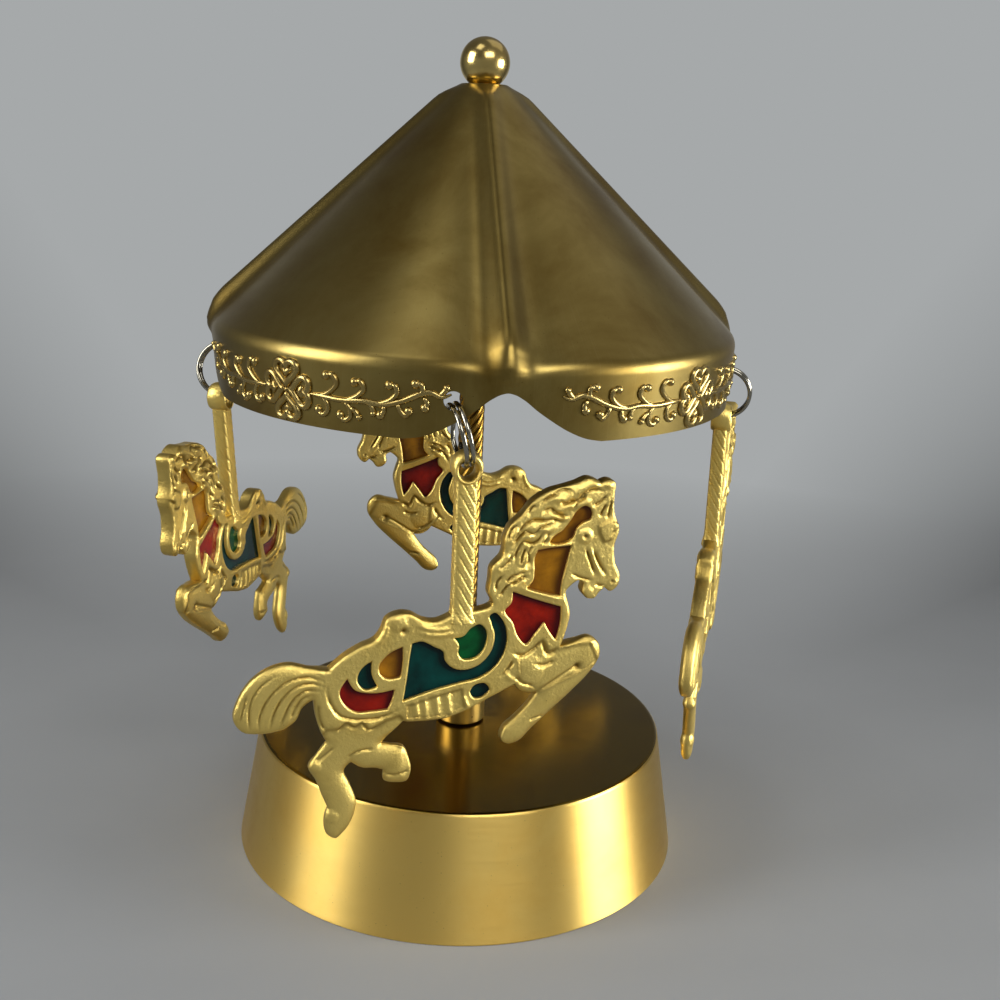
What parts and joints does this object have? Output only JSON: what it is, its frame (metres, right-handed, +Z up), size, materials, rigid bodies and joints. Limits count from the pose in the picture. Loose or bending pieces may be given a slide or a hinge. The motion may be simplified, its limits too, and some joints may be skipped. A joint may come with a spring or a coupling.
{
  "type": "carousel music box",
  "caption": "Table-top carousel music box: a round brass base with a wind-up movement turns a twisted post, and enamelled horses hang on split rings from a ribbed canopy.",
  "frame": {"origin": "on the axis of the post, in the plane of the rim that the base stands on", "axes": "+Z up along the post to the finial ball, -Y towards the front horse and rib, +X to the right of it"},
  "size_m": [0.1312, 0.1196, 0.176],
  "materials": {
    "base_brass": "brushed along the edge of the base, polished on its top, thin clear lacquer",
    "canopy_brass": "antiqued satin with brown patina",
    "ball_brass": "polished",
    "post_brass": "satin",
    "horse_brass": "satin cast",
    "ring_nickel": "bright spring wire",
    "key_nickel": "nickel plated",
    "movement_steel": "bright steel",
    "movement_brass": "machined",
    "bedplate_cast": "plain die casting",
    "amber_enamel": "glossy translucent enamel",
    "red_enamel": "glossy translucent enamel",
    "teal_enamel": "glossy translucent enamel",
    "green_enamel": "glossy translucent enamel"
  },
  "bodies": {
    "base": {"base_shell": "base_brass", "bottom_plate": "base_brass", "plate_screws": "movement_steel", "spindle_bush": "movement_brass", "movement_bedplate": "bedplate_cast", "comb": "movement_steel", "comb_screws": "movement_steel", "cylinder_brackets": "movement_brass", "governor_cage": "movement_brass", "cage_screw": "movement_steel"},
    "carousel": {"crown_gear": "movement_brass", "spring_barrel": "movement_brass", "mainspring": "movement_steel", "spindle": "movement_steel", "post_collar": "post_brass", "center_post": "post_brass", "tie_rod": "movement_steel", "canopy": "canopy_brass", "finial_ball": "ball_brass"},
    "winder": {"winding_key": "key_nickel", "winding_arbor": "movement_steel"},
    "cylinder": {"music_cylinder": "movement_brass", "cylinder_axle": "movement_steel", "cylinder_pinion": "movement_brass", "cylinder_wheel": "movement_brass"},
    "governor": {"governor_wheel": "movement_brass"},
    "fly": {"governor_fly": "movement_steel"},
    "ring_1": {"split_ring_1": "ring_nickel"},
    "horse_1": {"horse_1": "horse_brass", "amber_enamel_1": "amber_enamel", "red_enamel_1": "red_enamel", "teal_enamel_1": "teal_enamel", "green_enamel_1": "green_enamel"},
    "ring_2": {"split_ring_2": "ring_nickel"},
    "horse_2": {"horse_2": "horse_brass", "amber_enamel_2": "amber_enamel", "red_enamel_2": "red_enamel", "teal_enamel_2": "teal_enamel", "green_enamel_2": "green_enamel"},
    "ring_3": {"split_ring_3": "ring_nickel"},
    "horse_3": {"horse_3": "horse_brass", "amber_enamel_3": "amber_enamel", "red_enamel_3": "red_enamel", "teal_enamel_3": "teal_enamel", "green_enamel_3": "green_enamel"},
    "ring_4": {"split_ring_4": "ring_nickel"},
    "horse_4": {"horse_4": "horse_brass", "amber_enamel_4": "amber_enamel", "red_enamel_4": "red_enamel", "teal_enamel_4": "teal_enamel", "green_enamel_4": "green_enamel"}
  },
  "joints": [
    {"name": "carousel_spin", "type": "hinge", "parent": "base", "child": "carousel", "pos_m": [0, 0, 0.027], "axis": [0, 0, 1], "continuous": true},
    {"name": "key_wind", "type": "hinge", "parent": "base", "child": "winder", "pos_m": [0, 0, 0.0068], "axis": [0, 0, 1], "continuous": true},
    {"name": "cylinder_spin", "type": "hinge", "parent": "base", "child": "cylinder", "pos_m": [0.024, 0, 0.0176], "axis": [1, 0, 0], "continuous": true},
    {"name": "governor_spin", "type": "hinge", "parent": "base", "child": "governor", "pos_m": [0.0359, -0.00816, 0.0176], "axis": [1, 0, 0], "continuous": true},
    {"name": "fly_spin", "type": "hinge", "parent": "base", "child": "fly", "pos_m": [0.0359, -0.01428, 0.0176], "axis": [0, 0, 1], "continuous": true},
    {"name": "ring_1_swing", "type": "hinge", "parent": "carousel", "child": "ring_1", "pos_m": [-0.00932, -0.05288, 0.1114], "axis": [-0.9903, -0.1392, 0], "range_deg": [-12, 35]},
    {"name": "horse_1_swing", "type": "hinge", "parent": "ring_1", "child": "horse_1", "pos_m": [-0.00659, -0.0525, 0.09959], "axis": [-0.1392, 0.9903, 0], "range_deg": [-14, 14]},
    {"name": "ring_2_swing", "type": "hinge", "parent": "carousel", "child": "ring_2", "pos_m": [0.05288, -0.00932, 0.1114], "axis": [-0.3584, -0.9336, 0], "range_deg": [-12, 35]},
    {"name": "horse_2_swing", "type": "hinge", "parent": "ring_2", "child": "horse_2", "pos_m": [0.05387, -0.00675, 0.09959], "axis": [-0.9336, 0.3584, 0], "range_deg": [-11, 17]},
    {"name": "ring_3_swing", "type": "hinge", "parent": "carousel", "child": "ring_3", "pos_m": [0.00932, 0.05288, 0.1114], "axis": [0.9903, 0.1392, 0], "range_deg": [-12, 35]},
    {"name": "horse_3_swing", "type": "hinge", "parent": "ring_3", "child": "horse_3", "pos_m": [0.00659, 0.0525, 0.09959], "axis": [0.1392, -0.9903, 0], "range_deg": [-14, 14]},
    {"name": "ring_4_swing", "type": "hinge", "parent": "carousel", "child": "ring_4", "pos_m": [-0.05288, 0.00932, 0.1114], "axis": [0.3584, 0.9336, 0], "range_deg": [-12, 35]},
    {"name": "horse_4_swing", "type": "hinge", "parent": "ring_4", "child": "horse_4", "pos_m": [-0.05387, 0.00675, 0.09959], "axis": [0.9336, -0.3584, 0], "range_deg": [-23, 5]}
  ],
  "couplings": [
    {"joint": "cylinder_spin", "follows": "carousel_spin", "ratio": 3},
    {"joint": "governor_spin", "follows": "carousel_spin", "ratio": -9},
    {"joint": "fly_spin", "follows": "carousel_spin", "ratio": -198}
  ]
}
